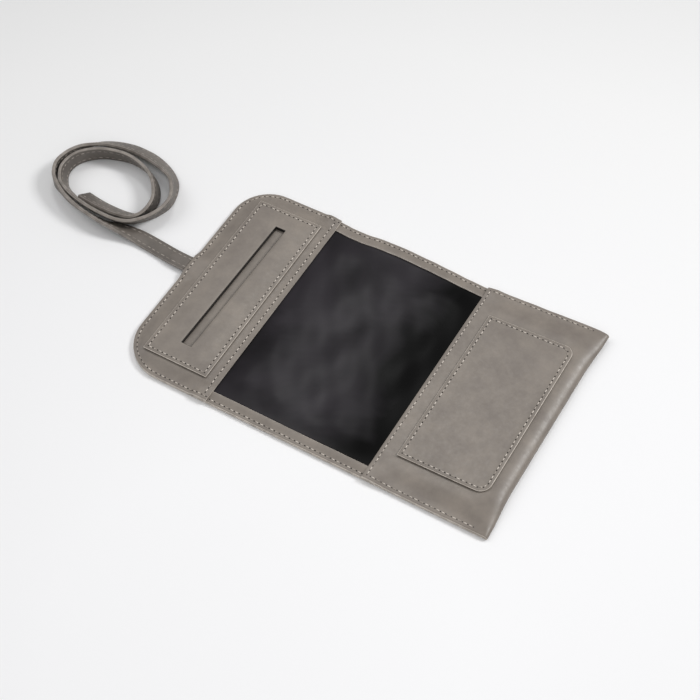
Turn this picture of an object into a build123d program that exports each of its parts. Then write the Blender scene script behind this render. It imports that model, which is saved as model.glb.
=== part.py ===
from build123d import *

import os
from math import pi, radians, tan

# Passport holder wallet, lying open with its inside up.
#
# X runs along the open wallet, Y along the spine and Z up from the table. The origin is on
# the table, under the middle of the spine. The left half lies at -X: it carries the slot
# patch and the tie strap. The right half lies at +X: its cover folds back over its outer
# edge into a flap with a card pocket, and it folds over the left half about the spine.

# ---- Driving sizes, millimetres ----
half_length = 110.5         # spine to outer edge, each half
height = 139.0              # along the spine
top_corner = 21.0           # radii of the left flap's two outer corners
bottom_corner = 25.0

cover_leather = 1.1
board = 0.3                 # stiffening board between cover and lining
satin = 0.25
border_over_satin = 0.75    # border leather, skived where it laps the lining
patch_leather = 1.0

seam_margin = 5.0           # glued and sewn strip round each pocket
stitch_inset = 2.0          # stitch line to leather edge
thread_width = 0.5
thread_proud = 0.2

border_width = 7.0
border_tuck = 8.0           # length of border hidden under each flap
satin_lap = 1.0             # lining hidden under a border

left_mouth = -53.0          # pocket mouths, which face each other across the lining
right_mouth = 40.0
left_pocket_gap = 2.0       # cover to left flap: the strap's thickness
right_mouth_gap = 1.8       # cover to right flap at its mouth
fold_height = 6.5           # outside height of the right half's folded edge

slot_patch_left, slot_patch_right = -99.5, -60.0
slot_patch_height = 117.0
slot_width, slot_length = 6.0, 92.0

card_pocket_left, card_pocket_right = 49.5, 100.0
card_pocket_height = 101.0
card_pocket_corner = 6.0

board_end = 10.0            # bare cover each side of the spine, so that it can fold
lining_end = 90.0           # lining ends inside the pockets

strap_width = 10.0
strap_thickness = 2.0
strap_float = 0.1           # keeps the bent strap's edges off the table
strap_y = 2.0               # where the strap leaves the left edge
strap_sewn_length = 14.0    # strap end held under the left flap

coil_centre = (-181.5, 31.0)
coil_outer = (36.0, 32.5)   # half length and half width of the coil's outline
coil_inner = (27.0, 23.0)
coil_landing = (-153.0, 5.0)    # where the flat strap runs into the coil

# ---- Heights, from the table up ----
board_top = cover_leather + board
lining_top = board_top + satin
border_top = lining_top + border_over_satin
left_flap_under = cover_leather + left_pocket_gap
left_flap_top = left_flap_under + cover_leather
slot_patch_top = left_flap_top + patch_leather
mouth_top = cover_leather + right_mouth_gap + cover_leather
fold_radius = fold_height / 2
fold_centre_x = half_length - fold_radius
flap_slope = (fold_height - mouth_top) / (fold_centre_x - right_mouth)


def right_flap_height(x):
    """Top of the right flap, which rises from its mouth to the folded edge."""
    return mouth_top + flap_slope * (x - right_mouth)


half_height = height / 2
border_inner = half_height - border_width
lining_half_height = border_inner + satin_lap
tall = 3 * fold_height      # taller than any layer, for trimming


def finish(piece, name):
    """Label a finished piece and write its file."""
    piece.label = name
    export_step(piece, f"parts/{name}.step")
    print(f"{name}: {piece.volume:.1f} mm3, {len(piece.solids())} solid(s)")


def left_outline(inset, end_x):
    """Left half's outline set in by inset, from its rounded outer edge to end_x."""
    outer_x = inset - half_length
    edge_y = half_height - inset
    with BuildSketch() as outline:
        with BuildLine():
            Polyline(
                (end_x, -edge_y), (outer_x, -edge_y), (outer_x, edge_y), (end_x, edge_y),
                close=True,
            )
        make_face()
        fillet(outline.vertices().group_by(Axis.Y)[0].sort_by(Axis.X)[0], bottom_corner - inset)
        fillet(outline.vertices().group_by(Axis.Y)[-1].sort_by(Axis.X)[0], top_corner - inset)
    return outline.sketch


def rectangle_between(x0, x1, y0, y1):
    """Rectangle by its corners, in the sketch being drawn."""
    with Locations(((x0 + x1) / 2, (y0 + y1) / 2)):
        return Rectangle(x1 - x0, y1 - y0)


os.makedirs("parts", exist_ok=True)

# ---- Covers: one hide in the real wallet, parted here along the spine ----
with BuildPart() as cover_left:
    with BuildSketch():
        add(left_outline(0, 0))
    extrude(amount=cover_leather)
finish(cover_left.part, "cover_left")

# The right cover turns back over its outer edge and returns as the flap over the pocket.
with BuildPart() as cover_right:
    with BuildSketch(Plane.XZ):
        with BuildLine():
            Line((0, 0), (fold_centre_x, 0))
            ThreePointArc(
                (fold_centre_x, 0), (half_length, fold_radius), (fold_centre_x, fold_height)
            )
            Polyline(
                (fold_centre_x, fold_height),
                (right_mouth, mouth_top),
                (right_mouth, cover_leather),
                (0, cover_leather),
                (0, 0),
            )
        make_face()
    extrude(amount=half_height, both=True)
    # The pocket's inside stops at the sewn strips along the top and bottom edges.
    with BuildSketch(Plane.XZ):
        with BuildLine():
            Line((right_mouth, cover_leather), (fold_centre_x, cover_leather))
            ThreePointArc(
                (fold_centre_x, cover_leather),
                (half_length - cover_leather, fold_radius),
                (fold_centre_x, fold_height - cover_leather),
            )
            Polyline(
                (fold_centre_x, fold_height - cover_leather),
                (right_mouth, mouth_top - cover_leather),
                (right_mouth, cover_leather),
            )
        make_face()
    extrude(amount=half_height - seam_margin, both=True, mode=Mode.SUBTRACT)
    # Room for the tucked ends of the border strips.
    with BuildSketch(Plane.XY.offset(cover_leather)):
        for side in (-1, 1):
            middle = side * (half_height + border_inner) / 2
            with Locations((right_mouth + border_tuck / 2, middle)):
                Rectangle(border_tuck, border_width)
    extrude(amount=border_top - cover_leather, mode=Mode.SUBTRACT)
finish(cover_right.part, "cover_right")

# ---- Stiffening boards, bare of the fold ----
with BuildPart() as board_left:
    with BuildSketch(Plane.XY.offset(cover_leather)):
        rectangle_between(-lining_end, -board_end, -border_inner, border_inner)
    extrude(amount=board)
finish(board_left.part, "board_left")

with BuildPart() as board_right:
    with BuildSketch(Plane.XY.offset(cover_leather)):
        rectangle_between(board_end, lining_end, -border_inner, border_inner)
    extrude(amount=board)
finish(board_right.part, "board_right")

# ---- Satin lining, one sheet parted along the spine ----
with BuildPart() as lining_left:
    with BuildSketch(Plane.XY.offset(board_top)):
        rectangle_between(-lining_end, 0, -lining_half_height, lining_half_height)
    extrude(amount=satin)
finish(lining_left.part, "lining_left")

with BuildPart() as lining_right:
    with BuildSketch(Plane.XY.offset(board_top)):
        rectangle_between(0, lining_end, -lining_half_height, lining_half_height)
    extrude(amount=satin)
finish(lining_right.part, "lining_right")


# ---- Border strips along the top and bottom edges, stepped over the lining's margin ----
def border_strip(x0, x1, side):
    """One strip from x0 to x1 along the edge on the given side of the wallet."""
    with BuildPart() as strip:
        with BuildSketch(Plane.YZ.offset(x0)):
            with BuildLine():
                Polyline(
                    (side * half_height, cover_leather),
                    (side * half_height, border_top),
                    (side * border_inner, border_top),
                    (side * border_inner, lining_top),
                    (side * lining_half_height, lining_top),
                    (side * lining_half_height, cover_leather),
                    close=True,
                )
            make_face()
        extrude(amount=x1 - x0)
    return strip.part


for edge, side in (("top", 1), ("bottom", -1)):
    finish(border_strip(left_mouth - border_tuck, 0, side), f"border_{edge}_left")
    finish(border_strip(0, right_mouth + border_tuck, side), f"border_{edge}_right")

# ---- Left flap, sewn down round three sides, open at its mouth ----
with BuildPart() as left_flap:
    with BuildSketch(Plane.XY.offset(cover_leather)):
        add(left_outline(0, left_mouth))
    extrude(amount=left_flap_top - cover_leather)
    with BuildSketch(Plane.XY.offset(cover_leather)):
        add(left_outline(seam_margin, left_mouth))
    extrude(amount=left_pocket_gap, mode=Mode.SUBTRACT)
    with BuildSketch(Plane.XY.offset(cover_leather)):
        for side in (-1, 1):
            middle = side * (half_height + border_inner) / 2
            with Locations((left_mouth - border_tuck / 2, middle)):
                Rectangle(border_tuck, border_width)
    extrude(amount=border_top - cover_leather, mode=Mode.SUBTRACT)
    # The strap's sewn end passes through the outer seam.
    with BuildSketch(Plane.XY.offset(cover_leather)):
        with Locations((-half_length + seam_margin / 2, strap_y)):
            Rectangle(seam_margin, strap_width)
    extrude(amount=strap_thickness, mode=Mode.SUBTRACT)
finish(left_flap.part, "left_flap")

# ---- Slot patch: a rectangle of leather with a long narrow window ----
slot_patch_middle = (slot_patch_left + slot_patch_right) / 2
slot_patch_width = slot_patch_right - slot_patch_left
with BuildPart() as slot_patch:
    with BuildSketch(Plane.XY.offset(left_flap_top)):
        with Locations((slot_patch_middle, 0)):
            Rectangle(slot_patch_width, slot_patch_height)
            Rectangle(slot_width, slot_length, mode=Mode.SUBTRACT)
    extrude(amount=patch_leather)
finish(slot_patch.part, "slot_patch")

# ---- Card pocket, lying on the slope of the right flap ----
with BuildPart() as card_pocket:
    with BuildSketch(Plane.XZ):
        with BuildLine():
            low = right_flap_height(card_pocket_left)
            high = right_flap_height(card_pocket_right)
            Polyline(
                (card_pocket_left, low),
                (card_pocket_right, high),
                (card_pocket_right, high + patch_leather),
                (card_pocket_left, low + patch_leather),
                close=True,
            )
        make_face()
    extrude(amount=card_pocket_height / 2, both=True)
    outer_corners = card_pocket.edges().filter_by(Axis.Z).group_by(Axis.X)[-1]
    fillet(outer_corners, card_pocket_corner)
finish(card_pocket.part, "card_pocket")

# ---- Threads: each seam's thread as a low bead along its stitch line ----
with BuildPart() as left_flap_thread:
    with BuildSketch(Plane.XY.offset(left_flap_top)):
        add(left_outline(stitch_inset, left_mouth - stitch_inset))
        add(
            left_outline(stitch_inset + thread_width, left_mouth - stitch_inset - thread_width),
            mode=Mode.SUBTRACT,
        )
    extrude(amount=thread_proud)
finish(left_flap_thread.part, "left_flap_thread")

with BuildPart() as slot_patch_thread:
    with BuildSketch(Plane.XY.offset(slot_patch_top)):
        with Locations((slot_patch_middle, 0)):
            seam_width = slot_patch_width - 2 * stitch_inset
            seam_height = slot_patch_height - 2 * stitch_inset
            Rectangle(seam_width, seam_height)
            Rectangle(
                seam_width - 2 * thread_width,
                seam_height - 2 * thread_width,
                mode=Mode.SUBTRACT,
            )
    extrude(amount=thread_proud)
finish(slot_patch_thread.part, "slot_patch_thread")


def on_right_slope(x0, x1, base):
    """Thin sheet lying parallel to the right flap, base above it, for a thread bead."""
    with BuildPart() as sheet:
        with BuildSketch(Plane.XZ):
            with BuildLine():
                low = right_flap_height(x0) + base
                high = right_flap_height(x1) + base
                Polyline(
                    (x0, low), (x1, high), (x1, high + thread_proud), (x0, low + thread_proud),
                    close=True,
                )
            make_face()
        extrude(amount=half_height, both=True)
    return sheet.part


# The right flap is sewn along its mouth, top and bottom; its outer edge is the fold.
with BuildPart() as right_flap_thread:
    with BuildSketch():
        seam_y = half_height - stitch_inset - thread_width / 2
        seam_start = right_mouth + stitch_inset
        with Locations(((seam_start + fold_centre_x) / 2, 0)):
            with GridLocations(0, 2 * seam_y, 1, 2):
                Rectangle(fold_centre_x - seam_start, thread_width)
        with Locations((seam_start + thread_width / 2, 0)):
            Rectangle(thread_width, 2 * seam_y)
    extrude(amount=tall)
    add(on_right_slope(right_mouth, fold_centre_x, 0), mode=Mode.INTERSECT)
finish(right_flap_thread.part, "right_flap_thread")

with BuildPart() as card_pocket_thread:
    pocket_middle = (card_pocket_left + card_pocket_right) / 2
    with BuildSketch() as pocket_seam:
        with Locations((pocket_middle, 0)):
            Rectangle(
                card_pocket_right - card_pocket_left - 2 * stitch_inset,
                card_pocket_height - 2 * stitch_inset,
            )
        fillet(pocket_seam.vertices().group_by(Axis.X)[-1], card_pocket_corner - stitch_inset)
        offset(amount=-thread_width, mode=Mode.SUBTRACT)
    extrude(amount=tall)
    add(
        on_right_slope(card_pocket_left, card_pocket_right, patch_leather),
        mode=Mode.INTERSECT,
    )
finish(card_pocket_thread.part, "card_pocket_thread")


def border_thread(x0, x1):
    """Seams of the top and bottom borders between x0 and x1."""
    with BuildPart() as thread:
        with BuildSketch(Plane.XY.offset(border_top)):
            with Locations(((x0 + x1) / 2, 0)):
                with GridLocations(0, height - 2 * stitch_inset - thread_width, 1, 2):
                    Rectangle(x1 - x0, thread_width)
        extrude(amount=thread_proud)
    return thread.part


finish(border_thread(left_mouth, 0), "border_thread_left")
finish(border_thread(0, right_mouth), "border_thread_right")

# ---- Strap: its sewn end, the flat run on the table and the coil it ends in ----
with BuildPart() as strap_anchor:
    with BuildSketch(Plane.XY.offset(cover_leather)):
        with Locations((-half_length + strap_sewn_length / 2, strap_y)):
            Rectangle(strap_sewn_length, strap_width)
    extrude(amount=strap_thickness)
finish(strap_anchor.part, "strap_anchor")

exit_z = cover_leather + strap_thickness / 2
flat_z = strap_thickness / 2 + strap_float
strap_route = [
    (-half_length, strap_y, exit_z),
    (-118.0, strap_y, exit_z),
    (-127.5, 3.4, flat_z),
    (-141.0, coil_landing[1], flat_z),
    (coil_landing[0], coil_landing[1], flat_z),
]


def route_radii(points):
    """Largest tangent arcs that each corner's two runs have room for."""
    corners = [Vector(*point) for point in points]
    radii = []
    for before, here, after in zip(corners, corners[1:], corners[2:]):
        turn = (here - before).get_angle(after - here)
        shorter = min((here - before).length, (after - here).length)
        radii.append(0.45 * shorter / tan(radians(turn) / 2))
    return radii


strap_radii = route_radii(strap_route)
print("strap radii", [round(radius) for radius in strap_radii])

with BuildPart() as strap_run:
    with BuildLine() as strap_line:
        FilletPolyline(*strap_route, radius=strap_radii)
    with BuildSketch(Plane(origin=strap_route[0], x_dir=(0, 1, 0), z_dir=(-1, 0, 0))):
        Rectangle(strap_width, strap_thickness)
    sweep()
strap_run_length = strap_line.wires()[0].length
finish(strap_run.part, "strap_run")
swept = strap_width * strap_thickness * strap_run_length
print(f"strap run length {strap_run_length:.1f} mm, section times length {swept:.1f} mm3")

# Two loose turns stand on edge inside this ring, and the strap's tip lies against them.
with BuildPart() as strap_coil:
    with BuildSketch():
        with Locations(coil_centre):
            Ellipse(*coil_outer)
    extrude(amount=strap_width)
    with BuildSketch():
        landing_x, landing_y = coil_landing
        with Locations(((landing_x + coil_centre[0]) / 2, landing_y)):
            Rectangle(landing_x - coil_centre[0], strap_width)
    extrude(amount=strap_float + strap_thickness)
    with BuildSketch():
        with Locations(coil_centre):
            Ellipse(*coil_inner)
    extrude(amount=strap_width, mode=Mode.SUBTRACT)
finish(strap_coil.part, "strap_coil")
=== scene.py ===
import math

import bmesh
import bpy
from mathutils import Matrix, Vector


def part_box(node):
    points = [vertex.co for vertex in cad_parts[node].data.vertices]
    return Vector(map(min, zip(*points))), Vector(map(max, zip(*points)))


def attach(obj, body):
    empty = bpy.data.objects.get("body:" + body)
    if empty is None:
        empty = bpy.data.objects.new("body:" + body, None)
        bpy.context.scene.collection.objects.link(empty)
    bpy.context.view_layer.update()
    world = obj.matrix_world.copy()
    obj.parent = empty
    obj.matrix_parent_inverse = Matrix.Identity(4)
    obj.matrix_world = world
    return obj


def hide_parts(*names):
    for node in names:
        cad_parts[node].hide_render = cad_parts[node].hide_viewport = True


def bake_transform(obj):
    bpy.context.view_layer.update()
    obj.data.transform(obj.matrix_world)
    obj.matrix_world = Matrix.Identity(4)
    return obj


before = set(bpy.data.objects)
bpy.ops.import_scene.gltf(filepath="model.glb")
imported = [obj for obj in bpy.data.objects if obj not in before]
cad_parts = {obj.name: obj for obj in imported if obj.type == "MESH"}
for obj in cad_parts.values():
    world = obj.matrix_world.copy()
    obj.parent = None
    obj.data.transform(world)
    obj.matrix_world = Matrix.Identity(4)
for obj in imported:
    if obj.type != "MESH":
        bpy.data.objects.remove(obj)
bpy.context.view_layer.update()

MM = 0.001

# ---- Sizes read from the frame, in metres ----
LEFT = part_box("cover_left")[0].x
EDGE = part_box("cover_left")[1].y
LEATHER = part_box("cover_left")[1].z
BORDER_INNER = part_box("border_top_left")[0].y
LEFT_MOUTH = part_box("left_flap")[1].x
RIGHT_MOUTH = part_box("border_thread_right")[1].x
PATCH_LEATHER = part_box("slot_patch")[1].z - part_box("slot_patch")[0].z
STRAP_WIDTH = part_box("strap_anchor")[1].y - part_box("strap_anchor")[0].y
STRAP_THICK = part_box("strap_anchor")[1].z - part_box("strap_anchor")[0].z

# ---- Sizes of the leatherwork that the frame doesn't hold ----
TOP_CORNER = 21 * MM            # radii of the left flap's outer corners
BOTTOM_CORNER = 25 * MM
PATCH_LEFT = -99.5 * MM         # slot patch, which reaches as far up as down
PATCH_RIGHT = -60 * MM
PATCH_END = 58.5 * MM
WINDOW_X = -79.75 * MM
WINDOW_WIDTH = 6 * MM
WINDOW_LENGTH = 92 * MM
POCKET_LEFT = 49.5 * MM         # card pocket, which does too
POCKET_RIGHT = 100 * MM
POCKET_END = 50.5 * MM
POCKET_CORNER = 6 * MM
PATCH_GAP = 0.45 * MM           # patch and pocket stand this far off their flaps
PATCH_ROUNDING = 0.22 * MM      # of their cut edges
BORDER_TUCK = 8 * MM            # length of border hidden under each flap
LINING_END = 90 * MM            # half of the satin's length and of its width
LINING_EDGE = 63.5 * MM
SPINE_BAND = 9 * MM             # sheets have a fine mesh this near the spine, to bend
INSET = 2 * MM                  # stitch rows inside the leather's edges
MOUTH_INSET = 2.8 * MM          # the same at the left flap's mouth
SIDE_SEAM_END = 102 * MM        # where the right flap's side seams stop
STITCH_PITCH = 3.0 * MM
STITCH_SIZE = (2.05 * MM, 0.58 * MM, 0.5 * MM)
HOLE_SIZE = (0.95 * MM, 0.7 * MM, 0.16 * MM)


def ease(start, end, value):
    """0 before start, 1 after end, smooth between."""
    t = min(max((value - start) / (end - start), 0.0), 1.0)
    return t * t * (3 - 2 * t)


# ---- Camera ----
FOCAL = 83.96               # millimetres on a 36 mm sensor
DISTANCE = 0.8637
TARGET = Vector((-5.36 * MM, -3.39 * MM, 0))
ELEVATION = math.radians(54.02)
AZIMUTH = math.radians(32.12)
ROLL = math.radians(-2.2)


def place_camera():
    """Looks down at the open wallet from beside its lower right corner."""
    towards = Vector((
        math.sin(AZIMUTH) * math.cos(ELEVATION),
        -math.cos(AZIMUTH) * math.cos(ELEVATION),
        math.sin(ELEVATION),
    ))
    level = Vector((0, 0, 1)).cross(towards).normalized()
    upright = towards.cross(level)
    right = level * math.cos(ROLL) + upright * math.sin(ROLL)
    up = upright * math.cos(ROLL) - level * math.sin(ROLL)
    data = bpy.data.cameras.new("camera")
    data.lens = FOCAL
    data.sensor_width = 36
    camera = bpy.data.objects.new("camera", data)
    turned = Matrix((right, up, towards)).transposed().to_4x4()
    camera.matrix_world = Matrix.Translation(TARGET + towards * DISTANCE) @ turned
    bpy.context.scene.collection.objects.link(camera)
    bpy.context.scene.camera = camera


place_camera()

# ---- Strap route ----
# The flat run from the left edge: x, y and z in millimetres, and the strap's lean in
# degrees, 0 lying flat with its near edge outwards, 90 on edge, more leaning inwards.
STRAP_RUN = [
    (-110.5, 2.0, 2.1, 0),
    (-118.0, 2.0, 2.1, 0),
    (-127.5, 3.4, 1.1, 0),
    (-141.0, 4.8, 1.1, 0),
    (-150.0, 5.2, 1.6, 10),
]
CLEARANCE = 0.2                 # millimetres between the coil's lower edge and the table
# Two loose turns on edge, wound clockwise, and the tip inside them: x, y and lean.
COIL = [
    (-161.5, 3.5, 34), (-168.5, 2, 50), (-174.5, 2.5, 56), (-182, 3, 62),
    (-189.5, 4.5, 68), (-198, 7, 74), (-204.5, 10.5, 81), (-210.5, 13.5, 90),
    (-214, 18, 93), (-216.5, 23.5, 96), (-216.5, 29, 100), (-215.5, 35, 107),
    (-213, 41.5, 118), (-209, 47, 130), (-203.5, 52, 139), (-196, 55, 144),
    (-187.5, 57, 147), (-180, 57, 148), (-173, 56.5, 147), (-165.5, 54.5, 142),
    (-158, 51.5, 133), (-151, 47, 118), (-146.5, 40, 99), (-144, 33.5, 84),
    (-144, 28.5, 74), (-145.5, 22.5, 66), (-148.5, 17, 60), (-152, 12.5, 58),
    (-156, 9, 56), (-162, 7, 57), (-168, 6.5, 59), (-174.5, 6.5, 61), (-181, 7, 62),
    (-187.5, 8, 63), (-194, 9.5, 64), (-199.5, 11.5, 66), (-204.5, 14, 68),
    (-207.5, 17.5, 71), (-210, 21.5, 76), (-211, 25.5, 82), (-211, 30.5, 87),
    (-209, 36, 92), (-204.5, 41, 96), (-198.5, 45, 98), (-191, 47.5, 101), (-183, 49, 105),
    (-174.5, 48, 109), (-166, 45, 110), (-159.5, 40.5, 109), (-154.5, 34.5, 105),
    (-151.5, 28, 92), (-151.5, 22, 76), (-153, 17.5, 60), (-155.5, 15, 47),
    (-158.5, 13.5, 40), (-164, 12.5, 39), (-170.5, 12.2, 37), (-177, 12.3, 36),
    (-183.5, 12.9, 35), (-190.5, 14.0, 33),
]


def strap_route():
    """Route points and directions across the strap, from its exit to its tip."""
    stops = list(STRAP_RUN)
    for x, y, lean in COIL:
        angle = math.radians(lean)
        rest = (STRAP_WIDTH * math.sin(angle) + STRAP_THICK * abs(math.cos(angle))) / 2 / MM
        stops.append((x, y, rest + CLEARANCE, lean))
    places = [Vector(stop[:3]) * MM for stop in stops]
    across = []
    for number, (_, _, _, lean) in enumerate(stops):
        ahead = places[min(number + 1, len(places) - 1)]
        behind = places[max(number - 1, 0)]
        along = (ahead - behind).normalized()
        outward = Vector((-along.y, along.x, 0)).normalized()
        angle = math.radians(lean)
        across.append(outward * math.cos(angle) + Vector((0, 0, math.sin(angle))))
    return places, across


def follow(name, points):
    """Closely spaced points along the smooth line that the given points shape."""
    curve = bpy.data.curves.new(name, "CURVE")
    curve.dimensions = "3D"
    curve.resolution_u = 8
    spline = curve.splines.new("NURBS")
    spline.points.add(len(points) - 1)
    for point, place in zip(spline.points, points):
        point.co = (*place, 1)
    spline.order_u = 3
    spline.use_endpoint_u = True
    holder = bpy.data.objects.new(name, curve)
    bpy.context.scene.collection.objects.link(holder)
    bpy.context.view_layer.update()
    line = bpy.data.meshes.new_from_object(holder)
    places = [vertex.co.copy() for vertex in line.vertices]
    bpy.data.objects.remove(holder)
    return places


def strap_frames():
    """Place, direction across and outward normal of the strap's upper face, all along it."""
    places, across = strap_route()
    line = follow("strap_line", places)
    rail = follow("strap_rail", [p + a * STRAP_WIDTH / 2 for p, a in zip(places, across)])
    frames = []
    for number, place in enumerate(line):
        ahead = line[min(number + 1, len(line) - 1)]
        behind = line[max(number - 1, 0)]
        along = (ahead - behind).normalized()
        side = rail[number] - place
        side = (side - along * side.dot(along)).normalized()
        frames.append((place, side, along.cross(side)))
    return frames


# The strap's section, in fractions of half its width and millimetres of height: two
# leathers glued back to back, with rounded edges, a glue line and sunken stitch rows.
STRAP_SECTION = [
    (-1.0, 0.12), (-0.995, 0.6), (-0.95, 0.97), (-0.7, 1.0), (-0.58, 0.94), (-0.46, 1.0),
    (0.0, 1.0),
    (0.46, 1.0), (0.58, 0.94), (0.7, 1.0), (0.95, 0.97), (0.995, 0.6), (1.0, 0.12),
    (0.975, 0.0),
    (1.0, -0.12), (0.995, -0.6), (0.95, -0.97), (0.7, -1.0), (0.58, -0.94), (0.46, -1.0),
    (0.0, -1.0),
    (-0.46, -1.0), (-0.58, -0.94), (-0.7, -1.0), (-0.95, -0.97), (-0.995, -0.6),
    (-1.0, -0.12), (-0.975, 0.0),
]
CUT_EDGE = 0.93                 # outside this, the section is cut edge and not face
STRAP_ROW = 0.58                # where the stitch rows lie across the section
ROW_SUNK = 0.85                 # their height, as a share of the face's


def make_strap(frames):
    """The section carried along the strap, closed at both ends."""
    rings = []
    mesh = bpy.data.meshes.new("strap")
    work = bmesh.new()
    for place, side, face in frames:
        ring = []
        for across, height in STRAP_SECTION:
            offset = side * across * STRAP_WIDTH / 2 + face * height * STRAP_THICK / 2
            ring.append(work.verts.new(place + offset))
        rings.append(ring)
    count = len(STRAP_SECTION)
    for first, second in zip(rings, rings[1:]):
        for k in range(count):
            after = (k + 1) % count
            face = work.faces.new((first[k], first[after], second[after], second[k]))
            edge = all(abs(STRAP_SECTION[end][0]) > CUT_EDGE for end in (k, after))
            face.material_index = 1 if edge else 0
            face.smooth = True
    for ring in (rings[0], rings[-1]):
        work.faces.new(ring).material_index = 1
    bmesh.ops.recalc_face_normals(work, faces=work.faces)
    work.to_mesh(mesh)
    work.free()
    strap = bpy.data.objects.new("strap", mesh)
    bpy.context.scene.collection.objects.link(strap)
    return strap


frames = strap_frames()
strap = make_strap(frames)
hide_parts("strap_run", "strap_coil")
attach(strap, "left_half")

# ---- Heights and reaches of the leatherwork, in millimetres ----
SEAM_TOP = 2.25             # two leathers sewn one on the other
FLAP_TOP = 4.15             # left flap's middle
LEFT_MOUTH_TOP = 3.15
RIGHT_MOUTH_TOP = 2.85
LEFT_OVER_BORDER = 3.3      # flaps where they cross the borders' hidden ends
RIGHT_OVER_BORDER = 3.1
OVER_STRAP = 4.2            # left flap over the strap's sewn end
PATCH_LIFT = 1.2            # a patch's upper face above its flap
SATIN_TOP = 1.65
BORDER_EDGE_TOP = 1.92      # border at its outer edge, and how much it rises inwards
BORDER_RISE = 0.48
FOLD_PINCHED = 2.3          # folded end at its corners, and how much its middle is higher
FOLD_RISE = 3.9
CORNER_LIFT = 1.7
HALF_WIDTH = 69.5           # from the middle of the wallet to each long edge
FOLD_HOLLOW = 109.2         # x of the folded end's hollow middle
FOLD_FLARE = 1.4            # how much further its corners reach


def top_edge(x):
    """How far the long upper edge strays outwards, in millimetres, at x millimetres."""
    turns = [
        (-110, 0.0), (-86, 0.3), (-60, 0.5), (-52, -0.3), (-44, -0.9), (-37, -0.9),
        (-25, 0.3), (-13, 0.6), (4, 0.0), (16, -0.7), (28, -1.5), (39, -1.9), (46, -1.0),
        (58, -0.2), (70, 0.4), (84, 0.7), (104, 0.5), (111, 0.0),
    ]
    for (x0, y0), (x1, y1) in zip(turns, turns[1:]):
        if x < x1:
            return y0 + (y1 - y0) * ease(x0, x1, x)
    return 0.0


def depth_inside(y):
    """How far inside the nearer long edge y lies, in millimetres."""
    return HALF_WIDTH - abs(y / MM)


def stray(x, y):
    """The shift in y, in metres, that the wavy upper edge gives a point."""
    return top_edge(x / MM) * ease(40, HALF_WIDTH, y / MM) * MM


def corner_lift(x, y):
    """The upper right corner curls off the table by this many metres."""
    return CORNER_LIFT * ease(72, 106, x / MM) * ease(44, HALF_WIDTH, y / MM) * MM


def outline_depth(x, y):
    """How far a point of the left flap lies inside its outer edges, in millimetres."""
    depth = min(x - LEFT, EDGE - y, EDGE + y)
    for side, radius in ((1, TOP_CORNER), (-1, BOTTOM_CORNER)):
        out_x = LEFT + radius - x
        out_y = side * y - (EDGE - radius)
        if out_x > 0 and out_y > 0:
            depth = radius - math.hypot(out_x, out_y)
    return depth / MM


def left_flap_top(x, y):
    """Height of the left flap's upper face, in metres."""
    x_mm, y_mm = x / MM, y / MM
    middle = LEFT_MOUTH_TOP + (FLAP_TOP - LEFT_MOUTH_TOP) * ease(-53, -60, x_mm)
    past_patch = math.hypot(
        max(PATCH_LEFT / MM - x_mm, 0), max(abs(y_mm) - PATCH_END / MM, 0))
    raised = ease(8, 0.5, past_patch) * ease(0.5, 5, outline_depth(x, y))
    height = SEAM_TOP + (middle - SEAM_TOP) * raised
    over_border = ease(-64, -60, x_mm) * ease(60.5, 63.0, abs(y_mm))
    height += (LEFT_OVER_BORDER - height) * over_border
    over_strap = ease(12, 4.4, abs(y_mm - 2)) * ease(-92, -98, x_mm)
    height += (OVER_STRAP - height) * over_strap
    return height * MM


def slot_patch_top(x, y):
    """Height of the slot patch's upper face: sewn down at its edges, loose inside."""
    edge = min(x - PATCH_LEFT, PATCH_RIGHT - x, PATCH_END - abs(y)) / MM
    return left_flap_top(x, y) + (PATCH_LIFT + 0.3 * ease(2, 10, edge)) * MM


def fold_height(y):
    """Outer height of the folded right end, in metres, pinched at both corners."""
    return (FOLD_PINCHED + FOLD_RISE * ease(-3, 24, depth_inside(y))) * MM


def fold_edge(y):
    """Furthest x of the folded right end, in metres: hollow in the middle."""
    return (FOLD_HOLLOW + FOLD_FLARE * ease(30, 2, depth_inside(y))) * MM


def right_flap_top(x, y):
    """Height of the right flap's upper face, in metres, without the corner's curl."""
    x_mm = x / MM
    inside = depth_inside(y)
    along = min(max((x_mm - 40) / 60, 0), 1)
    middle = RIGHT_MOUTH_TOP + (fold_height(0) / MM - RIGHT_MOUTH_TOP) * (
        0.64 * along + 0.36 * along ** 12)
    seam = SEAM_TOP + (fold_height(y) / MM - SEAM_TOP) * ease(86, 106, x_mm)
    height = seam + (middle - seam) * ease(3.5, 15, inside)
    over_border = ease(54, 45, x_mm) * ease(12, 5, inside)
    height += (RIGHT_OVER_BORDER - height) * over_border
    return height * MM


def card_pocket_top(x, y):
    """Height of the card pocket's upper face, in metres."""
    edge = min(x - POCKET_LEFT, POCKET_RIGHT - x, POCKET_END - abs(y)) / MM
    return right_flap_top(x, y) + (PATCH_LIFT + 0.25 * ease(2, 12, edge)) * MM


# ---- Leatherworking tools ----

def enter(piece):
    bpy.ops.object.select_all(action="DESELECT")
    bpy.context.view_layer.objects.active = piece
    piece.select_set(True)
    bpy.ops.object.mode_set(mode="EDIT")


def leave():
    bpy.ops.object.mode_set(mode="OBJECT")


def cut_sheet(name, low, high):
    """A flat rectangle of leather or cloth between two (x, y) corners, facing up."""
    bpy.ops.object.select_all(action="DESELECT")
    middle = ((low[0] + high[0]) / 2, (low[1] + high[1]) / 2, 0)
    bpy.ops.mesh.primitive_plane_add(size=1, location=middle)
    piece = bpy.context.object
    piece.name = name
    piece.scale = (high[0] - low[0], high[1] - low[1], 1)
    bpy.ops.object.transform_apply(location=True, rotation=True, scale=True)
    return piece


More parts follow.
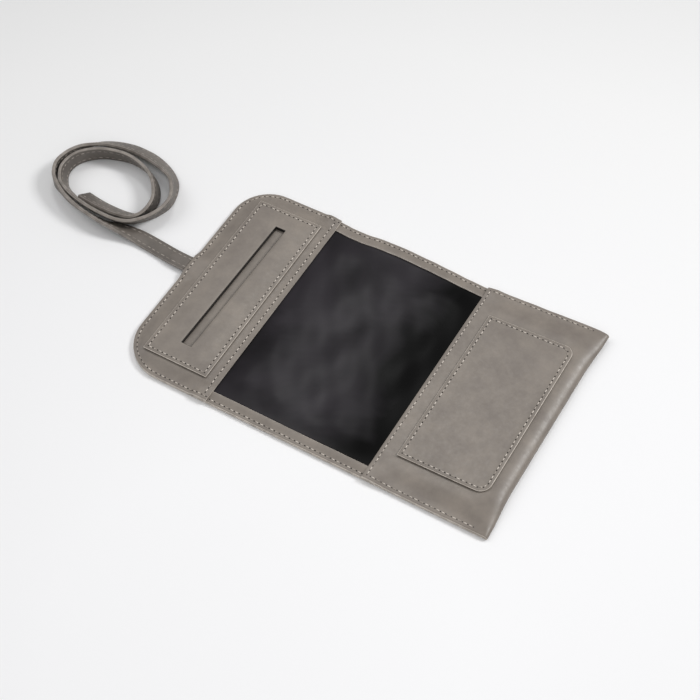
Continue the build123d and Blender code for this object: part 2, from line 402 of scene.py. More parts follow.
def round_corner(piece, corner, radius):
    """Trims one corner of a flat sheet to an arc."""
    enter(piece)
    bpy.ops.mesh.select_mode(type="VERT")
    bpy.ops.mesh.select_all(action="DESELECT")
    leave()
    for vertex in piece.data.vertices:
        vertex.select = (vertex.co.xy - Vector(corner)).length < 0.1 * MM
    enter(piece)
    bpy.ops.mesh.bevel(offset=radius, segments=14, profile=0.5, affect="VERTICES")
    leave()


def score(piece, xs, ys):
    """Cuts a flat sheet's mesh across at each x and each y, so that it can bend there."""
    enter(piece)
    for along, places in (((1, 0, 0), xs), ((0, 1, 0), ys)):
        for place in places:
            bpy.ops.mesh.select_all(action="SELECT")
            bpy.ops.mesh.bisect(plane_co=[place * part for part in along], plane_no=along)
    leave()


def steps(start, end, spacing):
    """Evenly spaced values strictly between start and end."""
    count = max(round(abs(end - start) / spacing), 1)
    return [start + (end - start) * k / count for k in range(1, count)]


def drape(piece, place):
    """Moves each point of a flat sheet to where place says."""
    for vertex in piece.data.vertices:
        vertex.co = place(vertex.co.x, vertex.co.y)
    piece.data.update()


def thicken(piece, thickness, rim_slot=1, round_off=0.15 * MM, turned=False):
    """Gives a draped sheet its wall, with eased cut edges."""
    if turned:
        enter(piece)
        bpy.ops.mesh.select_all(action="SELECT")
        bpy.ops.mesh.flip_normals()
        leave()
    wall = piece.modifiers.new("wall", "SOLIDIFY")
    wall.thickness = thickness
    wall.offset = -1
    wall.use_even_offset = True
    wall.material_offset_rim = rim_slot
    edge = piece.modifiers.new("edge", "BEVEL")
    edge.width = round_off
    edge.segments = 2
    edge.material = rim_slot
    edge.limit_method = "ANGLE"
    edge.angle_limit = math.radians(50)
    bpy.ops.object.select_all(action="DESELECT")
    bpy.context.view_layer.objects.active = piece
    piece.select_set(True)
    bpy.ops.object.modifier_apply(modifier="wall")
    bpy.ops.object.modifier_apply(modifier="edge")
    bpy.ops.object.shade_smooth_by_angle(angle=math.radians(42))


def finish_with(piece, *materials):
    for material in materials:
        piece.data.materials.append(material)


# ---- Finishes ----

def srgb(code):
    """Linear colour of an sRGB hex value."""
    channels = [int(code[k:k + 2], 16) / 255 for k in (1, 3, 5)]
    linear = [c / 12.92 if c <= 0.04045 else ((c + 0.055) / 1.055) ** 2.4 for c in channels]
    return (*linear, 1)


def add(tree, kind, inputs=None, **settings):
    """Adds a node, sets it up, and links or sets its inputs."""
    node = tree.nodes.new(kind)
    for name, value in settings.items():
        setattr(node, name, value)
    for name, value in (inputs or {}).items():
        if isinstance(value, bpy.types.NodeSocket):
            tree.links.new(value, node.inputs[name])
        else:
            node.inputs[name].default_value = value
    return node


def new_material(name):
    material = bpy.data.materials.new(name)
    material.use_nodes = True
    material.node_tree.nodes.clear()
    return material


def calf_leather(name, tones, roughness):
    """Smooth calf leather, aniline dyed and lightly waxed: cloudy taupe with a low sheen."""
    material = new_material(name)
    tree = material.node_tree
    spot = add(tree, "ShaderNodeTexCoord").outputs["Object"]
    cloud = add(tree, "ShaderNodeTexNoise", {
        "Vector": spot, "Scale": 1 / 0.016, "Detail": 7, "Roughness": 0.68})
    tone = add(tree, "ShaderNodeValToRGB", {"Fac": cloud.outputs["Fac"]})
    stops = tone.color_ramp.elements
    for stop, position, code in zip(stops, (0.34, 0.68), (tones[0], tones[2])):
        stop.position, stop.color = position, srgb(code)
    stops.new(0.5).color = srgb(tones[1])
    # Pores of about 0.2 mm are drawn at 0.9 mm, or they would not show.
    pores = add(tree, "ShaderNodeTexVoronoi", {
        "Vector": spot, "Scale": 1 / 0.0009, "Randomness": 0.9}, feature="DISTANCE_TO_EDGE")
    fibres = add(tree, "ShaderNodeTexNoise", {
        "Vector": spot, "Scale": 1 / 0.0022, "Detail": 4, "Roughness": 0.65})
    rough = add(tree, "ShaderNodeMapRange", {
        "Value": fibres.outputs["Fac"], "From Min": 0.3, "From Max": 0.7,
        "To Min": roughness - 0.05, "To Max": roughness + 0.07})
    pore_bump = add(tree, "ShaderNodeBump", {
        "Height": pores.outputs["Distance"], "Strength": 0.10, "Distance": 0.05 * MM})
    bump_both = add(tree, "ShaderNodeBump", {
        "Height": fibres.outputs["Fac"], "Strength": 0.22, "Distance": 0.12 * MM,
        "Normal": pore_bump.outputs["Normal"]})
    surface = add(tree, "ShaderNodeBsdfPrincipled", {
        "Base Color": tone.outputs["Color"], "Roughness": rough.outputs["Result"],
        "IOR": 1.48, "Normal": bump_both.outputs["Normal"]})
    add(tree, "ShaderNodeOutputMaterial", {"Surface": surface.outputs["BSDF"]})
    return material


def edge_paint(name, dark, light):
    """Cut leather edge, sanded and painted: a paler, even, slightly glossy line."""
    material = new_material(name)
    tree = material.node_tree
    spot = add(tree, "ShaderNodeTexCoord").outputs["Object"]
    worn = add(tree, "ShaderNodeTexNoise", {
        "Vector": spot, "Scale": 1 / 0.004, "Detail": 3})
    tone = add(tree, "ShaderNodeValToRGB", {"Fac": worn.outputs["Fac"]})
    for stop, position, code in zip(tone.color_ramp.elements, (0.35, 0.65), (dark, light)):
        stop.position, stop.color = position, srgb(code)
    bump_all = add(tree, "ShaderNodeBump", {
        "Height": worn.outputs["Fac"], "Strength": 0.2, "Distance": 0.1 * MM})
    surface = add(tree, "ShaderNodeBsdfPrincipled", {
        "Base Color": tone.outputs["Color"], "Roughness": 0.42, "IOR": 1.5,
        "Normal": bump_all.outputs["Normal"]})
    add(tree, "ShaderNodeOutputMaterial", {"Surface": surface.outputs["BSDF"]})
    return material


def lining_satin():
    """Woven polyester satin, black with a plum cast: broad soft reflections on its folds."""
    material = new_material("woven_polyester_satin")
    tree = material.node_tree
    spot = add(tree, "ShaderNodeTexCoord").outputs["Object"]
    # Warp floats are 0.2 mm apart, too fine to show. These faint ridges are far coarser,
    # 4.4 mm apart: a wave repeats after 2 pi / (20 * scale).
    turned = add(tree, "ShaderNodeMapping", {
        "Vector": spot, "Rotation": (0, 0, math.radians(62))})
    floats = add(tree, "ShaderNodeTexWave", {
        "Vector": turned.outputs["Vector"], "Scale": 1 / 0.0007 / 20, "Distortion": 0.6},
        wave_type="BANDS")
    # Painted sheen: soft lighter and darker blotches about 45 mm across stand in for
    # reflections on the satin.
    painted_sheen_patches = add(tree, "ShaderNodeTexNoise", {
        "Vector": spot, "Scale": 1 / 0.045, "Detail": 3, "Distortion": 0.8})
    across = add(tree, "ShaderNodeSeparateXYZ", {"Vector": spot})
    # Painted sheen: the colour is a little lighter and plum towards the cloth's left end and
    # jet at its right, for the reflection the satin shows there.
    painted_sheen_ramp = add(tree, "ShaderNodeMapRange", {
        "Value": across.outputs["X"], "From Min": 0.04, "From Max": 0.0,
        "To Min": -0.3, "To Max": 0.14}, clamp=True)
    aside = add(tree, "ShaderNodeMath", {0: across.outputs["X"], 1: 0.012}, operation="ADD")
    aside = add(tree, "ShaderNodeMath", {0: aside.outputs["Value"]}, operation="ABSOLUTE")
    # Handling has polished the middle of the cloth; it shines less towards its ends.
    polish = add(tree, "ShaderNodeMapRange", {
        "Value": aside.outputs["Value"], "From Min": 0.01, "From Max": 0.042,
        "To Min": 0.28, "To Max": 0.1}, clamp=True)
    mixed = add(tree, "ShaderNodeMath", {0: painted_sheen_patches.outputs["Fac"], 1: painted_sheen_ramp.outputs["Result"]},
                operation="ADD")
    tone = add(tree, "ShaderNodeValToRGB", {"Fac": mixed.outputs["Value"]})
    for stop, position, code in zip(
            tone.color_ramp.elements, (0.3, 0.75), ("#070707", "#2A272B")):
        stop.position, stop.color = position, srgb(code)
    weave = add(tree, "ShaderNodeBump", {
        "Height": floats.outputs["Fac"], "Strength": 0.12, "Distance": 0.05 * MM})
    surface = add(tree, "ShaderNodeBsdfPrincipled", {
        "Base Color": tone.outputs["Color"], "Roughness": 0.36, "IOR": 1.36,
        "Specular IOR Level": polish.outputs["Result"],
        "Sheen Weight": 0.02, "Sheen Roughness": 0.4, "Normal": weave.outputs["Normal"]})
    add(tree, "ShaderNodeOutputMaterial", {"Surface": surface.outputs["BSDF"]})
    return material


def polyester_thread(name, dark, light):
    """Bonded polyester thread: pale, with some stitches a little darker than others."""
    material = new_material(name)
    tree = material.node_tree
    spot = add(tree, "ShaderNodeTexCoord").outputs["Object"]
    # The twist is too fine to show. This pattern repeats every 7.5 mm along a straight
    # seam, which is more than two stitches.
    shades = add(tree, "ShaderNodeTexWave", {
        "Vector": spot, "Scale": 1 / 0.0006 / 20, "Distortion": 1.5},
        bands_direction="DIAGONAL")
    tone = add(tree, "ShaderNodeValToRGB", {"Fac": shades.outputs["Fac"]})
    for stop, position, code in zip(tone.color_ramp.elements, (0.1, 0.7), (dark, light)):
        stop.position, stop.color = position, srgb(code)
    relief = add(tree, "ShaderNodeBump", {
        "Height": shades.outputs["Fac"], "Strength": 0.3, "Distance": 0.05 * MM})
    surface = add(tree, "ShaderNodeBsdfPrincipled", {
        "Base Color": tone.outputs["Color"], "Roughness": 0.5, "IOR": 1.5,
        "Normal": relief.outputs["Normal"]})
    add(tree, "ShaderNodeOutputMaterial", {"Surface": surface.outputs["BSDF"]})
    return material


def leather_in_shade():
    """Pierced leather, its inside unfinished and in painted shade: a near-black dimple at each
    end of a stitch, also used for the patch window's cut edge and the flap beneath it.
    """
    material = new_material("leather_in_painted_shade")
    tree = material.node_tree
    spot = add(tree, "ShaderNodeTexCoord").outputs["Object"]
    shade_mottle = add(tree, "ShaderNodeTexNoise", {"Vector": spot, "Scale": 1 / 0.0008})
    tone = add(tree, "ShaderNodeValToRGB", {"Fac": shade_mottle.outputs["Fac"]})
    tone.color_ramp.elements[0].color = srgb("#1E1B19")
    tone.color_ramp.elements[1].color = srgb("#38332F")
    surface = add(tree, "ShaderNodeBsdfPrincipled", {
        "Base Color": tone.outputs["Color"], "Roughness": 0.85, "IOR": 1.45})
    add(tree, "ShaderNodeOutputMaterial", {"Surface": surface.outputs["BSDF"]})
    return material


def bonded_board():
    """Pressed leather-fibre board: flecked grey-brown, quite matt."""
    material = new_material("pressed_fibre_board")
    tree = material.node_tree
    spot = add(tree, "ShaderNodeTexCoord").outputs["Object"]
    flecks = add(tree, "ShaderNodeTexNoise", {
        "Vector": spot, "Scale": 1 / 0.0015, "Detail": 6, "Roughness": 0.75})
    tone = add(tree, "ShaderNodeValToRGB", {"Fac": flecks.outputs["Fac"]})
    for stop, position, code in zip(
            tone.color_ramp.elements, (0.35, 0.7), ("#4B443D", "#7A7066")):
        stop.position, stop.color = position, srgb(code)
    surface = add(tree, "ShaderNodeBsdfPrincipled", {
        "Base Color": tone.outputs["Color"], "Roughness": 0.8, "IOR": 1.45})
    add(tree, "ShaderNodeOutputMaterial", {"Surface": surface.outputs["BSDF"]})
    return material


TAUPE = calf_leather("smooth_calf_leather", ("#726A63", "#7B736B", "#857C73"), 0.41)
STRAP_TAUPE = calf_leather("creased_strap_leather", ("#544E49", "#5F5953", "#6A635D"), 0.48)
PAINTED = edge_paint("painted_cut_edge", "#B2A99F", "#CFC6BC")
STRAP_EDGE = edge_paint("rubbed_strap_edge", "#756E68", "#8F8881")
SATIN = lining_satin()
THREAD = polyester_thread("twisted_polyester_thread", "#9A9188", "#CFC6BC")
RUBBED_THREAD = polyester_thread("rubbed_strap_thread", "#837B74", "#A09890")
# Near-black leather: painted shade in the needle holes and round the patch's window.
SHADE_DARK_LEATHER = leather_in_shade()
BOARD = bonded_board()

finish_with(strap, STRAP_TAUPE, STRAP_EDGE)
for name, material in (
        ("board_left", BOARD), ("board_right", BOARD), ("strap_anchor", STRAP_TAUPE)):
    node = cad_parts[name]
    node.data.materials.clear()
    node.data.materials.append(material)

# ---- Cover: one hide, flat behind and folded over at its right end ----
BACK_END = 104 * MM             # flat pattern: the back, then the fold, then the flap
FOLD_END = 119 * MM
FLAP_END = FOLD_END + 100 * MM - RIGHT_MOUTH
TRUE_END = 60 * MM              # up to here the back lies exactly as its flat pattern
TIGHT_SHARE = 0.3               # of the fold's pattern and height, in its tight lower turn
SETTLED = 0.12                  # share of the flap by which it has its own height


def fold_hide(x, y):
    """Where a point of the cover's flat pattern lies, on the outer face of the hide.

    The fold is tight underneath and rolls over in a broad shoulder above."""
    height = fold_height(y)
    plump = ease(0, 14, depth_inside(y))
    under, over = (1.2 + 1.3 * plump) * MM, (2 + 8 * plump) * MM
    furthest = fold_edge(y)
    part = (x - BACK_END) / (FOLD_END - BACK_END)
    if part <= 0:
        start = furthest - under
        flat = x
        if x >= TRUE_END:
            flat = TRUE_END + (x - TRUE_END) * (start - TRUE_END) / (BACK_END - TRUE_END)
        place = Vector((flat, y, 0))
    elif part < TIGHT_SHARE:
        angle = math.pi / 2 * (part / TIGHT_SHARE)
        place = Vector((furthest - under + under * math.sin(angle), y,
                        TIGHT_SHARE * height * (1 - math.cos(angle))))
    elif part < 1:
        broad = 1 - TIGHT_SHARE
        angle = math.pi / 2 * (part - TIGHT_SHARE) / broad
        place = Vector((furthest - over + over * math.cos(angle), y,
                        height * (TIGHT_SHARE + broad * math.sin(angle))))
    else:
        part = (x - FOLD_END) / (FLAP_END - FOLD_END)
        start = furthest - over
        flat = start + (RIGHT_MOUTH - start) * part
        settle = ease(0, SETTLED, part)
        place = Vector((flat, y, height * (1 - settle) + right_flap_top(flat, y) * settle))
    place.y += stray(place.x, y)
    place.z += corner_lift(place.x, y)
    return place


EDGE_LINES = [side * (EDGE - inside * MM) for side in (1, -1)
              for inside in (1, 2.5, 4, 5.5, 7, 8.5, 10, 12, 14, 16.5, 19, 22, 26)]
MIDDLE_LINES = steps(-40 * MM, 40 * MM, 5 * MM)
SPINE_LINES = steps(-SPINE_BAND, SPINE_BAND, 0.6 * MM)
FINE_FROM = FLAP_END - 16 * MM

cover = cut_sheet("cover_hide", (LEFT, -EDGE), (FLAP_END, EDGE))
round_corner(cover, (LEFT, EDGE), TOP_CORNER)
round_corner(cover, (LEFT, -EDGE), BOTTOM_CORNER)
score(cover,
      steps(LEFT, -12 * MM, 7 * MM) + SPINE_LINES
      + steps(SPINE_BAND, BACK_END, 4 * MM) + [BACK_END] + steps(BACK_END, FOLD_END, 1 * MM)
      + [FOLD_END] + steps(FOLD_END, FINE_FROM, 2.4 * MM)
      + steps(FINE_FROM, FLAP_END, 1.5 * MM),
      EDGE_LINES + MIDDLE_LINES)
drape(cover, fold_hide)
finish_with(cover, TAUPE, PAINTED)
thicken(cover, LEATHER, turned=True)
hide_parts("cover_left", "cover_right")

# ---- Satin lining ----
def lining_height(x, y):
    """Loose satin between the two flaps, in soft slanting ripples."""
    x_mm, y_mm = x / MM, y / MM
    free = ease(-56, -40, x_mm) * ease(46, 26, x_mm) * ease(62, 48, abs(y_mm))
    ripple = (0.45 * math.sin(x_mm / 9.5 + y_mm / 15 + 1.1)
              + 0.4 * math.sin(x_mm / 14 - y_mm / 8.5)
              + 0.36 * math.sin(x_mm / 4.6 - y_mm / 13 + 2.0)
              + 0.22 * math.sin(x_mm / 3.1 + y_mm / 5.2) + 1.4)
    return (SATIN_TOP + free * ripple * 0.8) * MM


lining = cut_sheet("satin_lining", (-LINING_END, -LINING_EDGE), (LINING_END, LINING_EDGE))
score(lining, steps(-LINING_END, -SPINE_BAND, 1.8 * MM) + SPINE_LINES
      + steps(SPINE_BAND, LINING_END, 1.8 * MM), steps(-LINING_EDGE, LINING_EDGE, 2.2 * MM))
drape(lining, lambda x, y: Vector((x, y + stray(x, y), lining_height(x, y))))
finish_with(lining, SATIN)
thicken(lining, 0.25 * MM, rim_slot=0, round_off=0.05 * MM)
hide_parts("lining_left", "lining_right")


# ---- Borders along both long edges ----
def border_height(x, y):
    """The border lies on the hide at the outer edge and over the satin inside."""
    waves = 0.12 * math.sin(x / MM / 11 + y / MM / 40)
    return (BORDER_EDGE_TOP + (BORDER_RISE + waves) * ease(1.5, 6.2, depth_inside(y))) * MM


borders = []
for side, name in ((1, "top"), (-1, "bottom")):
    inner, outer = side * BORDER_INNER, side * EDGE
    border = cut_sheet(f"{name}_border_leather",
                       (LEFT_MOUTH - BORDER_TUCK, min(inner, outer)),
                       (RIGHT_MOUTH + BORDER_TUCK, max(inner, outer)))
    score(border,
          steps(LEFT_MOUTH - BORDER_TUCK, -SPINE_BAND, 3 * MM) + SPINE_LINES
          + steps(SPINE_BAND, RIGHT_MOUTH + BORDER_TUCK, 3 * MM),
          [side * (EDGE - inside * MM) for inside in (1, 2, 3, 4, 5, 6)])
    drape(border, lambda x, y: Vector((x, y + stray(x, y), border_height(x, y))))
    finish_with(border, TAUPE, PAINTED)
    thicken(border, 0.75 * MM)
    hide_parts(f"border_{name}_left", f"border_{name}_right")
    borders.append(border)

# ---- Left flap ----
left_flap = cut_sheet("left_flap_leather", (LEFT, -EDGE), (LEFT_MOUTH, EDGE))
round_corner(left_flap, (LEFT, EDGE), TOP_CORNER)
round_corner(left_flap, (LEFT, -EDGE), BOTTOM_CORNER)
PRESS_DEPTH = 0.8               # millimetres, under the window
PRESS_FULL = 0.8                # pressed fully up to this far outside the window
PRESS_NONE = 2.2                # and not at all from here
SHADE_BAND = 3.5                  # width of the near-black painted shade round the window
score(left_flap, steps(LEFT, LEFT_MOUTH, 1.5 * MM)
      + [WINDOW_X + side * (WINDOW_WIDTH / 2 + past * MM)
         for side in (1, -1) for past in (0, PRESS_FULL, PRESS_NONE)],
      EDGE_LINES + MIDDLE_LINES + steps(-12 * MM, 16 * MM, 1.5 * MM)
      + [WINDOW_LENGTH / 2, -WINDOW_LENGTH / 2])


def askew(x, y):
    """The window was cut a little askew: its far end leans right, its near end left."""
    near = ease(14, 3, abs(x - WINDOW_X) / MM)
    return x + (0.2 + 0.8 * y / (WINDOW_LENGTH / 2)) * MM * near


def beside_window(x, y):
    """How far outside the patch's window a point lies, in millimetres."""
    return max(abs(x - WINDOW_X) - WINDOW_WIDTH / 2, abs(y) - WINDOW_LENGTH / 2) / MM


def lay_left_flap(x, y):
    """Under the patch's window the flap is pressed down, so the window looks deep."""
    pressed = PRESS_DEPTH * ease(PRESS_NONE, PRESS_FULL, beside_window(x, y)) * MM
    return Vector((askew(x, y), y + stray(x, y), left_flap_top(x, y) - pressed))


finish_with(left_flap, TAUPE, PAINTED, SHADE_DARK_LEATHER)
for face in left_flap.data.polygons:
    if 0 < beside_window(face.center.x, face.center.y) < SHADE_BAND:
        face.material_index = 2     # painted shade: near-black where only the window's gap shows it
drape(left_flap, lay_left_flap)
thicken(left_flap, LEATHER)
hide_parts("left_flap")
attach(left_flap, "left_half")

# ---- Slot patch, with its window ----
patch = cut_sheet("slot_patch_leather", (PATCH_LEFT, -PATCH_END), (PATCH_RIGHT, PATCH_END))
score(patch,
      [WINDOW_X - WINDOW_WIDTH / 2, WINDOW_X + WINDOW_WIDTH / 2]
      + steps(PATCH_LEFT, WINDOW_X - WINDOW_WIDTH / 2, 1.7 * MM)
      + steps(WINDOW_X + WINDOW_WIDTH / 2, PATCH_RIGHT, 1.7 * MM),
      [WINDOW_LENGTH / 2, -WINDOW_LENGTH / 2]
      + steps(-PATCH_END, -WINDOW_LENGTH / 2, 1.8 * MM)
      + steps(-WINDOW_LENGTH / 2, WINDOW_LENGTH / 2, 3 * MM)
      + steps(WINDOW_LENGTH / 2, PATCH_END, 1.8 * MM))
enter(patch)
bpy.ops.mesh.select_mode(type="FACE")
bpy.ops.mesh.select_all(action="DESELECT")
leave()
for face in patch.data.polygons:
    face.select = (abs(face.center.x - WINDOW_X) < WINDOW_WIDTH / 2
                   and abs(face.center.y) < WINDOW_LENGTH / 2)
enter(patch)
bpy.ops.mesh.delete(type="FACE")
leave()


def lay_patch(x, y):
    return Vector((askew(x, y), y + stray(x, y), slot_patch_top(x, y)))


drape(patch, lay_patch)
finish_with(patch, TAUPE, PAINTED, SHADE_DARK_LEATHER)
thicken(patch, PATCH_LEATHER - PATCH_GAP, round_off=PATCH_ROUNDING)
RIM_REACH = 1.5 * MM            # the window's own cut edge lies within this of it
# Painted shade: the window's own cut edge takes the near-black leather, for the shadow in the
# slot.
for face in patch.data.polygons:
    near_window = (abs(face.center.x - WINDOW_X) < WINDOW_WIDTH / 2 + RIM_REACH
                   and abs(face.center.y) < WINDOW_LENGTH / 2 + RIM_REACH)
    if face.material_index == 1 and near_window:
        face.material_index = 2
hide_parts("slot_patch")
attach(patch, "left_half")

# ---- Card pocket ----
pocket = cut_sheet("card_pocket_leather",
                   (POCKET_LEFT, -POCKET_END), (POCKET_RIGHT, POCKET_END))
round_corner(pocket, (POCKET_RIGHT, POCKET_END), POCKET_CORNER)
round_corner(pocket, (POCKET_RIGHT, -POCKET_END), POCKET_CORNER)
score(pocket, steps(POCKET_LEFT, POCKET_RIGHT, 1.8 * MM),
      steps(-POCKET_END, -36 * MM, 1.8 * MM) + steps(-36 * MM, 36 * MM, 4 * MM)
      + steps(36 * MM, POCKET_END, 1.8 * MM))


def lay_pocket(x, y):
    return Vector((x, y + stray(x, y), card_pocket_top(x, y) + corner_lift(x, y)))


drape(pocket, lay_pocket)
finish_with(pocket, TAUPE, PAINTED)
thicken(pocket, PATCH_LEATHER - PATCH_GAP, round_off=PATCH_ROUNDING)
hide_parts("card_pocket")
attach(pocket, "right_half")

# ---- Stitches ----
bpy.ops.object.select_all(action="DESELECT")
bpy.ops.mesh.primitive_uv_sphere_add(segments=8, ring_count=6, radius=0.5)
stitch_pattern = bpy.context.object
stitch_pattern.name = "stitch_pattern"
enter(stitch_pattern)
bpy.ops.mesh.select_all(action="SELECT")
bpy.ops.transform.rotate(value=math.pi / 2, orient_axis="Y", center_override=(0, 0, 0))
bpy.ops.transform.resize(value=STITCH_SIZE)
leave()
stitch_mesh = stitch_pattern.data
bpy.ops.mesh.primitive_cylinder_add(vertices=8, radius=0.5, depth=1)
hole_pattern = bpy.context.object
enter(hole_pattern)
bpy.ops.mesh.select_all(action="SELECT")
bpy.ops.transform.resize(value=HOLE_SIZE)
leave()
hole_mesh = hole_pattern.data


def line_points(corners, pitch=STITCH_PITCH):
    """Points about a pitch apart along straight runs between corners."""
    points = []
    for start, end in zip(corners, corners[1:]):
        start, end = Vector(start), Vector(end)
        count = max(round((end - start).length / pitch), 1)
        points += [start.lerp(end, k / count) for k in range(count)]
    return points + [Vector(corners[-1])]


def arc_points(middle, radius, start, end, pitch=STITCH_PITCH):
    """Points about a pitch apart along an arc, its angles in degrees."""
    count = max(round(abs(math.radians(end - start)) * radius / pitch), 1)
    points = []
    for k in range(count + 1):
        angle = math.radians(start + (end - start) * k / count)
        points.append(Vector((middle[0] + radius * math.cos(angle),
                              middle[1] + radius * math.sin(angle))))
    return points


def sew(name, seams, hole_size=1.0, thread=None):
    """One object of stitches and needle holes. A seam is a list of (place, upward) pairs."""
    mesh = bpy.data.meshes.new(name)
    work = bmesh.new()
    for seam in seams:
        for number, (place, up) in enumerate(seam):
            if number + 1 < len(seam):
                after, up_after = seam[number + 1]
                along = after - place
                upward = (up + up_after).normalized()
                along_unit = (along - upward * along.dot(upward)).normalized()
                across = upward.cross(along_unit)
                turned = Matrix((along_unit, across, upward)).transposed().to_4x4()
                size = Matrix.Diagonal((along.length / STITCH_PITCH, 1, 1, 1))
                middle = (place + after) / 2 + upward * 0.06 * MM
                lay(work, stitch_mesh, Matrix.Translation(middle) @ turned @ size, 0)
            else:
                before = seam[number - 1][0]
                along_unit = (place - before).normalized()
                across = up.cross(along_unit).normalized()
                along_unit = across.cross(up)
                turned = Matrix((along_unit, across, up)).transposed().to_4x4()
            # Each needle hole is a near-black disc of painted shade.
            hole = Matrix.Translation(place) @ turned @ Matrix.Scale(hole_size, 4)
            lay(work, hole_mesh, hole, 1)
    work.to_mesh(mesh)
    work.free()
    piece = bpy.data.objects.new(name, mesh)
    bpy.context.scene.collection.objects.link(piece)
    finish_with(piece, thread or THREAD, SHADE_DARK_LEATHER)
    return piece


def lay(work, pattern, place, slot):
    """Adds a copy of a modelled pattern at a place."""
    old_verts, old_faces = len(work.verts), len(work.faces)
    work.from_mesh(pattern)
    work.verts.ensure_lookup_table()
    work.faces.ensure_lookup_table()
    bmesh.ops.transform(work, matrix=place, verts=work.verts[old_verts:])
    for face in work.faces[old_faces:]:
        face.material_index = slot
        face.smooth = slot == 0


def on_face(points, height, lift=lambda x, y: 0.0):
    """Places and normals of stitch points on an upper face."""
    seam = []
    step = 0.3 * MM
    for point in points:
        x, y = point
        slope_x = (height(x + step, y) - height(x - step, y)) / (2 * step)
        slope_y = (height(x, y + step) - height(x, y - step)) / (2 * step)
        up = Vector((-slope_x, -slope_y, 1)).normalized()
        seam.append((Vector((x, y + stray(x, y), height(x, y) + lift(x, y))), up))
    return seam


def on_back(points):
    """Places and normals of the same stitches where they show on the back."""
    return [(Vector((x, y + stray(x, y), corner_lift(x, y) + 0.1 * MM)), Vector((0, 0, -1)))
            for x, y in points]


outer_left = (
    line_points([(LEFT_MOUTH - 1 * MM, -EDGE + INSET), (LEFT + BOTTOM_CORNER, -EDGE + INSET)])
    + arc_points((LEFT + BOTTOM_CORNER, -EDGE + BOTTOM_CORNER),
                 BOTTOM_CORNER - INSET, 270, 180)[1:]
    + line_points([(LEFT + INSET, -EDGE + BOTTOM_CORNER),
                   (LEFT + INSET, EDGE - TOP_CORNER)])[1:]
    + arc_points((LEFT + TOP_CORNER, EDGE - TOP_CORNER), TOP_CORNER - INSET, 180, 90)[1:]
    + line_points([(LEFT + TOP_CORNER, EDGE - INSET), (LEFT_MOUTH - 1 * MM, EDGE - INSET)])[1:]
)
mouth_left = line_points([(LEFT_MOUTH - MOUTH_INSET, -EDGE + 2 * INSET),
                          (LEFT_MOUTH - MOUTH_INSET, EDGE - 2 * INSET)])
flap_stitches = sew("left_flap_stitches", [
    on_face(outer_left, left_flap_top), on_face(mouth_left, left_flap_top),
    on_back(outer_left)])
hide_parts("left_flap_thread")
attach(flap_stitches, "left_half")

patch_line = line_points([
    (PATCH_LEFT + INSET, -PATCH_END + INSET), (PATCH_RIGHT - INSET, -PATCH_END + INSET),
    (PATCH_RIGHT - INSET, PATCH_END - INSET), (PATCH_LEFT + INSET, PATCH_END - INSET),
    (PATCH_LEFT + INSET, -PATCH_END + INSET)])
patch_stitches = sew("slot_patch_stitches", [on_face(patch_line, slot_patch_top)])
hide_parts("slot_patch_thread")
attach(patch_stitches, "left_half")

mouth_right = line_points([(RIGHT_MOUTH + INSET, -EDGE + INSET),
                           (RIGHT_MOUTH + INSET, EDGE - INSET)])
sides_right = [line_points([(RIGHT_MOUTH + 2 * INSET, side * (EDGE - INSET)),
                            (SIDE_SEAM_END, side * (EDGE - INSET))]) for side in (1, -1)]
right_stitches = sew("right_flap_stitches", [
    on_face(mouth_right, right_flap_top, corner_lift),
    *[on_face(line, right_flap_top, corner_lift) for line in sides_right],
    *[on_back(line) for line in sides_right]], 0.8)
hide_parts("right_flap_thread")
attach(right_stitches, "right_half")

turn = POCKET_CORNER - INSET
arc_x, arc_y = POCKET_RIGHT - POCKET_CORNER, POCKET_END - POCKET_CORNER
row_left, row_right = POCKET_LEFT + INSET, POCKET_RIGHT - INSET
row_end = POCKET_END - INSET
pocket_line = (
    line_points([(row_left, row_end), (row_left, -row_end), (arc_x, -row_end)])
    + arc_points((arc_x, -arc_y), turn, 270, 360)[1:]
    + line_points([(row_right, -arc_y), (row_right, arc_y)])[1:]
    + arc_points((arc_x, arc_y), turn, 0, 90)[1:]
    + line_points([(arc_x, row_end), (row_left, row_end)])[1:]
)
pocket_stitches = sew(
    "card_pocket_stitches", [on_face(pocket_line, card_pocket_top, corner_lift)])
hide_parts("card_pocket_thread")
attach(pocket_stitches, "right_half")

border_lines = [
    line_points([(LEFT_MOUTH + 1 * MM, side * (EDGE - INSET)),
                 (RIGHT_MOUTH - 1 * MM, side * (EDGE - INSET))]) for side in (1, -1)]
border_stitches = sew("border_stitches", [
    *[on_face(line, border_height) for line in border_lines],
    *[on_back(line) for line in border_lines]])
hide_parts("border_thread_left", "border_thread_right")

# Two rows along the strap, on both of its faces.
strap_seams = []
travelled = 0.0
stops = [frames[0]]
for before, after in zip(frames, frames[1:]):
    travelled += (after[0] - before[0]).length
    if travelled >= STITCH_PITCH:
        stops.append(after)
        travelled = 0.0
for row in (STRAP_ROW, -STRAP_ROW):
    for face in (1, -1):
        strap_seams.append([
            (place + side * row * STRAP_WIDTH / 2 + up * face * STRAP_THICK / 2 * ROW_SUNK,
             up * face)
            for place, side, up in stops])
strap_stitches = sew("strap_stitches", strap_seams, 0.55, RUBBED_THREAD)
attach(strap_stitches, "left_half")

for pattern in (stitch_pattern, hole_pattern):
    bpy.data.objects.remove(pattern)

# Fabric and leather that cross the spine, with their placing baked into their meshes. When the
# wallet is shut, the hide wraps round the outside.
for piece in (cover, lining, *borders, border_stitches):
    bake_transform(piece)

# ---- Floor and light ----
PAPER_TOP = -0.25 * MM
bpy.ops.object.select_all(action="DESELECT")
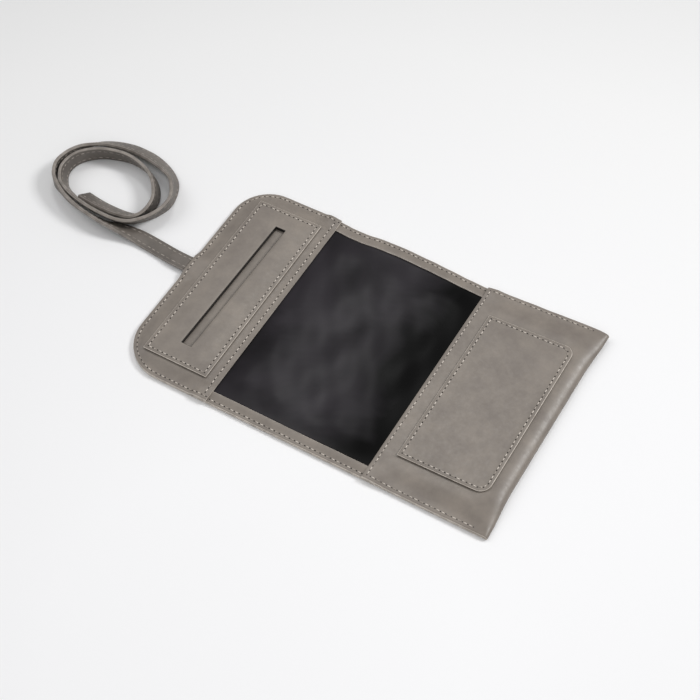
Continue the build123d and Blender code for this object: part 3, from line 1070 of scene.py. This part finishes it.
# The stitches on the back stand on the paper, a quarter of a millimetre below the hide.
bpy.ops.mesh.primitive_plane_add(size=8, location=(0, 0, PAPER_TOP))
floor = bpy.context.object
floor.name = "paper_sweep"
paper = new_material("matt_backdrop_paper")
tree = paper.node_tree
spot = add(tree, "ShaderNodeTexCoord").outputs["Object"]
# Painted light: the paper is palest round a point near the wallet's lower right and greyer
# further off, standing in for the lamps' fall-off.
centred = add(tree, "ShaderNodeMapping", {
    "Vector": spot, "Location": (-0.04, 0.17, 0)})
from_centre = add(tree, "ShaderNodeVectorMath", {0: centred.outputs["Vector"]},
                  operation="LENGTH")
painted_falloff = add(tree, "ShaderNodeValToRGB", {"Fac": from_centre.outputs["Value"]})
for stop, position, code in zip(
        painted_falloff.color_ramp.elements, (0.1, 0.56), ("#F1F1F2", "#D4D4D4")):
    stop.position, stop.color = position, srgb(code)
for position, code in ((0.24, "#EBEBEC"), (0.4, "#E3E3E3")):
    painted_falloff.color_ramp.elements.new(position).color = srgb(code)
surface = add(tree, "ShaderNodeBsdfPrincipled", {
    "Base Color": painted_falloff.outputs["Color"], "Roughness": 0.9})
add(tree, "ShaderNodeOutputMaterial", {"Surface": surface.outputs["BSDF"]})
finish_with(floor, paper)


def soft_box(name, place, aim, size, power):
    """A large square studio lamp that looks at a point."""
    data = bpy.data.lights.new(name, "AREA")
    data.shape = "SQUARE"
    data.size = size
    data.energy = power
    lamp = bpy.data.objects.new(name, data)
    lamp.location = place
    lamp.rotation_euler = (Vector(aim) - Vector(place)).to_track_quat("-Z", "Y").to_euler()
    bpy.context.scene.collection.objects.link(lamp)


soft_box("left_window", (-1.15, -0.1, 1.05), (0, 0, 0), 0.8, 4.5)
soft_box("right_strip", (0.76, 0.68, 0.98), (0, 0, 0), 0.42, 11)
soft_box("back_left", (-0.45, 0.73, 1.43), (0, 0, 0), 0.35, 3.6)
soft_box("front_fill", (0.4, -1.0, 0.9), (0, 0, 0), 0.7, 2.5)
world = bpy.data.worlds.new("studio")
bpy.context.scene.world = world
world.use_nodes = True
background = world.node_tree.nodes["Background"]
background.inputs["Color"].default_value = (1, 1, 1, 1)
background.inputs["Strength"].default_value = 0.42
bpy.context.scene.view_settings.view_transform = "Standard"
